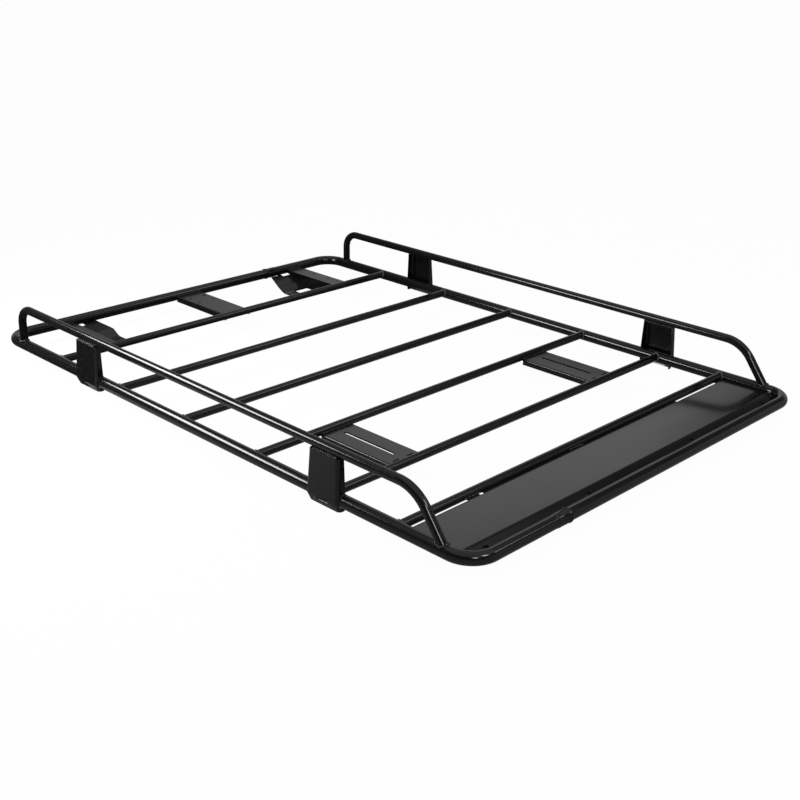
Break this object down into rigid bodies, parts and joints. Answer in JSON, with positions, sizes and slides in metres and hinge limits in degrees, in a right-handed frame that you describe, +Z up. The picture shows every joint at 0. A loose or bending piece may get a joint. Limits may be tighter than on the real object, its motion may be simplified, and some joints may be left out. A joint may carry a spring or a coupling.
{
  "type": "flat platform roof rack",
  "caption": "Open steel roof rack: round tube loop with crossbars, low side rails on folded sheet towers, small channel plates and a folded wind sheet at the front.",
  "frame": {"origin": "middle of the base loop in plan, at the level of the lowest pieces, the rear chute floors", "axes": "+X to the vehicle's front, where the wind sheet is; +Y to its left side; +Z up"},
  "size_m": [1.782, 1.252, 0.1628],
  "materials": {
    "tube_paint": "gloss black powder coat on bent tube",
    "tower_paint": "gloss black powder coat on folded sheet",
    "plate_paint": "semi gloss black powder coat on small plates",
    "sheet_paint": "gloss black powder coat on a wide flat sheet"
  },
  "bodies": {
    "root": {"base_frame_right": "tube_paint", "base_frame_left": "tube_paint", "side_rail_right": "tube_paint", "side_rail_left": "tube_paint", "deck_plate_right": "plate_paint", "deck_plate_left": "plate_paint", "rear_plate_centre": "plate_paint", "rear_bracket_right": "plate_paint", "rear_bracket_left": "plate_paint", "front_sheet": "sheet_paint", "crossbar_1": "tube_paint", "crossbar_2": "tube_paint", "crossbar_3": "tube_paint", "crossbar_4": "tube_paint", "crossbar_5": "tube_paint", "crossbar_6": "tube_paint", "tower_front_right": "tower_paint", "tower_front_left": "tower_paint", "tower_rear_right": "tower_paint", "tower_rear_left": "tower_paint"}
  },
  "joints": []
}
